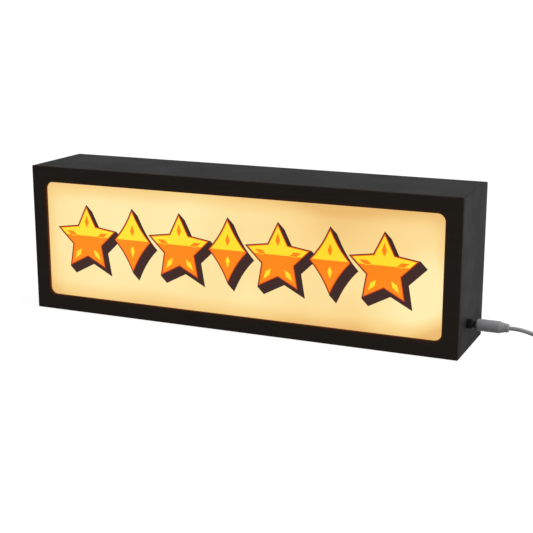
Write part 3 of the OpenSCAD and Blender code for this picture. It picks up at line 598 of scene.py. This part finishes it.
STAR_INLAY = (2.5 * MM, 6.6 * MM)  # half width and half height
STAR_INLAY_OUT = 0.56  # distance from the hub as a share of the radius
SPARK_WIDTH = 38 * MM
SPARK_PULL = 0.4
SPARK_STEPS = 5
SPARK_INLAY = (2.4 * MM, 6 * MM)
SPARK_INLAY_OUT = 10 * MM
INLAY_TIP = 1.15  # outer and inner tip as shares of the half height
INLAY_HEEL = 0.85


def grown(outline, by):
    """Closed outline with every side moved outwards by a distance, its corners mitred."""
    sign = 1 if turns_left(outline) else -1
    result = []
    for i, p in enumerate(outline):
        before = (p - outline[i - 1]).normalized()
        after = (outline[(i + 1) % len(outline)] - p).normalized()
        n0 = Vector((before.y, -before.x)) * sign
        n1 = Vector((after.y, -after.x)) * sign
        result.append(p + (n0 + n1) * (by / max(1 + n0.dot(n1), SHARPEST_MITRE)))
    return result


def star(hub):
    """Five-pointed star, point up."""
    points = []
    for i in range(10):
        r = STAR_RADIUS * STAR_WAIST if i % 2 else STAR_RADIUS
        a = math.radians(90 + 36 * i)
        points.append(hub + Vector((r * math.cos(a), r * math.sin(a))))
    return points


def spark(centre):
    """Four-pointed lozenge with hollow sides, drawn as four arcs."""
    half_w, half_h = SPARK_WIDTH / 2, MOTIF_HEIGHT / 2
    corners = [Vector(c) for c in ((half_w, 0), (0, half_h), (-half_w, 0), (0, -half_h))]
    points = []
    for a, b in zip(corners, corners[1:] + corners[:1]):
        pull = (a + b) * SPARK_PULL
        for k in range(SPARK_STEPS):
            t = k / SPARK_STEPS
            points.append(centre + a * (1 - t) ** 2 + pull * 2 * t * (1 - t) + b * t * t)
    return points


def inlay(centre, half_w, half_h, direction):
    """Small four-sided inlay whose longer tip points in a direction."""
    turn = direction - math.pi / 2
    c, s = math.cos(turn), math.sin(turn)
    shape = ((half_w, 0), (0, half_h * INLAY_TIP), (-half_w, 0), (0, -half_h * INLAY_HEEL))
    return [centre + Vector((x * c - y * s, x * s + y * c)) for x, y in shape]


def swept_outline(outline, shift):
    """The outline, its shifted copy and a four-sided piece for each side swept between them."""
    far = [p + shift for p in outline]
    ends = list(zip(outline, far))
    sides = [[a, b, far_b, far_a] for (a, far_a), (b, far_b) in zip(ends, ends[1:] + ends[:1])]
    open_sides = [s for s in sides if abs((s[1] - s[0]).cross(s[3] - s[0])) > LEAST_AREA]
    return [outline, far] + open_sides


def motifs():
    """Outlines and inlays of a row of four stars with three hollow-sided lozenges between them."""
    stars = (MOTIFS + 1) // 2
    sparks = MOTIFS - stars
    gap = (LAST_X - FIRST_X - stars * STAR_WIDTH - sparks * SPARK_WIDTH) / (MOTIFS - 1)
    outlines, inlays = [], []
    x = FIRST_X
    for i in range(MOTIFS):
        width = SPARK_WIDTH if i % 2 else STAR_WIDTH
        centre = Vector((x + width / 2, ROW_MID_Z))
        x += width + gap
        if i % 2:
            outlines.append(spark(centre))
            places = [(centre, SPARK_INLAY_OUT, a) for a in (90, 270)]
            size = SPARK_INLAY
        else:
            hub = centre - Vector((0, STAR_DROP))
            outlines.append(star(hub))
            places = [(hub, STAR_RADIUS * STAR_INLAY_OUT, 90 + 72 * k) for k in range(5)]
            size = STAR_INLAY
        for start, distance, degrees in places:
            a = math.radians(degrees)
            out = Vector((math.cos(a), math.sin(a)))
            inlays.append(inlay(start + out * distance, *size, a))
    return outlines, inlays


def ornaments():
    """Prints the motifs in two tones with a rim, an outline and a block shadow, layer on layer."""
    outlines, inlays = motifs()
    rims = [grown(o, RIM) for o in outlines]
    edges = [grown(o, RIM + OUTLINE) for o in outlines]
    block = [shape for edge in edges for shape in swept_outline(edge, BLOCK_SHIFT)]
    split = [((FIRST_X - SPLIT_OVER, SPLIT_Z), (LAST_X + SPLIT_OVER, SPLIT_Z))]

    def upper(p):
        return p.y > SPLIT_Z

    def lower(p):
        return p.y < SPLIT_Z

    layers = (
        ("print_block", "print_block", 1, block, None, ()),
        ("print_outline", "print_outline", 2, edges, None, ()),
        ("print_rim", "print_rim", 3, rims, None, ()),
        ("print_upper_fill", "print_yellow", 4, outlines, upper, split),
        ("print_lower_fill", "print_orange", 4, outlines, lower, split),
        ("print_upper_inlays", "print_orange", 5, inlays, upper, split),
        ("print_lower_inlays", "print_yellow", 5, inlays, lower, split),
    )
    for name, material, height, shapes, keep, cuts in layers:
        mesh = flat_mesh(name, shapes, height * PRINT_LAYER, keep, cuts)
        add_piece(name, mesh, "cabinet", material)


# ---- lead ---------------------------------------------------------------------------------------

# The route repeats the points of the model's own source, in millimetres
RUN_POINTS = [
    (263.2, -13, 27), (267, -13, 27), (271, -13, 26.85), (275, -13, 26.4), (279, -13, 25.65),
    (283, -13, 24.65), (287, -13, 23.35), (291, -13, 21.8), (295, -13, 20.1), (299, -13, 18.4),
    (302.5, -13, 17), (305.5, -13, 15.9), (308.2, -13, 15.1),
]
TAIL_POINTS = [
    (294.6, 0.7, 2.6), (294.6, -4, 2.3), (294.6, -9, 2.1), (294.6, -14, 2), (295.2, -18.8, 2),
    (296.8, -22.8, 2.1), (299.4, -26.2, 2.4), (302.9, -28.8, 2.9), (306.8, -30.4, 3.5),
    (311, -31, 3.9), (312.5, -31, 4), (314, -31, 4),
]
CORD_D = 3.9
COIL_MIDDLE = (318, 10.4)
COIL_MEAN_R = 19.5
COIL_COLUMNS = 3
COIL_LAYERS = 4
COIL_BASE = 0.6  # height of the coil's underside, which lies on its tie
COIL_START = -90  # direction in degrees at which every turn starts, heading along +X
LAST_TURN = 0.75  # share of a turn that the last one makes
STEPS_A_TURN = 24
CROSSING = 6  # steps at a turn's end over which it moves on to the next place in the bundle
STEPS_A_POINT = 3


def round_coil(direction, radius, height):
    """Point in a direction in degrees and at a distance from the coil's middle."""
    a = math.radians(direction)
    return (COIL_MIDDLE[0] + radius * math.cos(a), COIL_MIDDLE[1] + radius * math.sin(a), height)


def coil_points():
    """The turns from the top layer down, from the outermost in and back out."""
    radii = [COIL_MEAN_R + CORD_D * ((COIL_COLUMNS - 1) / 2 - c) for c in range(COIL_COLUMNS)]
    places = []
    for layer in reversed(range(COIL_LAYERS)):
        places += [(radius, COIL_BASE + CORD_D * (layer + 0.5)) for radius in radii]
        radii.reverse()
    points = []
    for step in range(round((len(places) - 1 + LAST_TURN) * STEPS_A_TURN) + 1):
        turn, along = divmod(step, STEPS_A_TURN)
        r, z = places[turn]
        next_r, next_z = places[min(turn + 1, len(places) - 1)]
        t = max(along + CROSSING - STEPS_A_TURN, 0) / CROSSING
        t = t * t * (3 - 2 * t)
        direction = COIL_START + 360 * along / STEPS_A_TURN
        points.append(round_coil(direction, r + (next_r - r) * t, z + (next_z - z) * t))
    return points


def smooth_path(points):
    """Points on a curve that passes through all the given ones."""
    p = [Vector(q) for q in points]
    p = [p[0] * 2 - p[1]] + p + [p[-1] * 2 - p[-2]]
    result = []
    for a, b, c, d in zip(p, p[1:], p[2:], p[3:]):
        slope, bend, twist = c - a, a * 2 - b * 5 + c * 4 - d, b * 3 - a - c * 3 + d
        for k in range(STEPS_A_POINT):
            t = k / STEPS_A_POINT
            result.append((b * 2 + slope * t + bend * t * t + twist * t ** 3) / 2)
    return result + [p[-2]]


def make_lead():
    """The whole lead as one curve, in place of the ring and the two tubes of the model."""
    route = [p * MM for p in smooth_path(RUN_POINTS + coil_points() + TAIL_POINTS)]
    curve = bpy.data.curves.new("lead", "CURVE")
    curve.dimensions = "3D"
    curve.bevel_depth = CORD_D / 2 * MM
    curve.bevel_resolution = 4
    curve.use_fill_caps = True
    spline = curve.splines.new("POLY")
    spline.points.add(len(route) - 1)
    for point, place in zip(spline.points, route):
        point.co = (*place, 1)
    spline.use_smooth = True
    lead = bpy.data.objects.new("lead", curve)
    bpy.context.collection.objects.link(lead)
    curve.materials.append(made_materials["cord_white"])
    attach(lead, "lead")
    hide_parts("cord_run", "cord_coil", "cord_tail")
    return lead


# ---- marks on the switch ------------------------------------------------------------------------

# Measures of the rocker that repeat those of the model's own source
ROCKER_TILT = math.radians(10)
ROCKER_CROWN = 1.2 * MM
ROCKER_HALF = 8.2 * MM
ROCKER_REACH = (
    ROCKER_HALF * math.sin(ROCKER_TILT)
    + (ROCKER_CROWN + ROCKER_HALF * math.tan(ROCKER_TILT)) * math.cos(ROCKER_TILT)
)
MARK_PLACE = 4.3 * MM  # distance of a mark's middle from the edge between the rocker's two halves
MARK_HEIGHTS = (-0.02 * MM, 0.03 * MM)  # its underside in the face, and its top
BAR_HALF = (0.3 * MM, 1.7 * MM)
RING_RADII = (1.75 * MM, 1.2 * MM)
RING_SIDES = 32


def mark_mesh(name, loops, centre, along, out):
    """Thin raised mark: a plate inside one loop, or a ring between two."""
    count = len(loops[0])
    top = count * len(loops)
    flat = [centre + along * u + Vector((0, 0, w)) for loop in loops for u, w in loop]
    vertices = [place + out * height for height in MARK_HEIGHTS for place in flat]
    steps = [(k, (k + 1) % count) for k in range(count)]
    if len(loops) == 1:
        under = [list(range(count))]
    else:
        under = [[k, j, j + count, k + count] for k, j in steps]
    faces = under + [[v + top for v in face] for face in under]
    for start in range(0, top, count):
        faces += [[start + k, start + j, start + j + top, start + k + top] for k, j in steps]
    return mesh_of(name, vertices, faces)


def switch_marks():
    """I and O printed on the two halves of the rocker's face, which are tilted to each other."""
    low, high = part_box("switch_rocker")
    mid_x = sum(v.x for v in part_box("switch_housing")) / 2
    pivot = Vector((mid_x, high.y - ROCKER_REACH, (low.z + high.z) / 2))
    crown = Vector((math.sin(ROCKER_TILT), math.cos(ROCKER_TILT), 0)) * ROCKER_CROWN
    half_w, half_h = BAR_HALF
    bar = [(-half_w, -half_h), (half_w, -half_h), (half_w, half_h), (-half_w, half_h)]
    turns = [2 * math.pi * k / RING_SIDES for k in range(RING_SIDES)]
    rings = [[(r * math.cos(a), r * math.sin(a)) for a in turns] for r in RING_RADII]
    marks = (("mark_on", [bar], 1, 0.0), ("mark_off", rings, -1, 2 * ROCKER_TILT))
    for name, loops, side, slope in marks:
        along = Vector((side * math.cos(slope), math.sin(slope), 0))
        out = Vector((-side * math.sin(slope), math.cos(slope), 0))
        mesh = mark_mesh(name, loops, pivot + crown + along * MARK_PLACE, along, out)
        add_piece(name, mesh, "rocker", "mark_white")


# ---- everything put together --------------------------------------------------------------------

OWN_FINISH = {  # nodes whose finish differs from that of their slot
    "front_frame": "black_paint_frame",
    "left_board": "black_paint_upright",
    "right_board": "black_paint_upright",
}
ROUNDED = {  # radius of the rounded edges in mm
    "front_frame": 0.35, "top_board": 0.3, "bottom_board": 0.3, "left_board": 0.3,
    "right_board": 0.3, "back_panel": 0.2, "back_panel_screws": 0.25, "keyhole_plate_left": 0.2,
    "keyhole_plate_right": 0.2, "keyhole_rivets": 0.3, "jack_ring_nut": 0.25, "jack_housing": 0.15,
    "switch_housing": 0.4, "switch_rocker": 0.35, "plug_grip": 0.3, "plug_barrel": 0.12,
    "plug_boot": 0.22, "cord_tie": 0.2, "usb_grip": 1.0, "usb_boot": 0.3, "usb_shell": 0.12,
    "usb_tongue": 0.1,
}


def dress_nodes():
    """Gives every CAD node the finish of its slot, and rounds the edges of those that need it."""
    for name, node in nodes.items():
        slot = slot_of[name]
        finish = made_materials[OWN_FINISH.get(name, slot)]
        if not node.material_slots:
            node.data.materials.append(finish)
        for place in node.material_slots:
            place.material = finish
    for name, width in ROUNDED.items():
        soften(nodes[name], width * MM)


bpy.context.scene.view_settings.view_transform = "Standard"
make_camera()
make_materials()
lead = make_lead()
dress_nodes()
ornaments()
switch_marks()
make_world()
make_floor()
make_lamps()
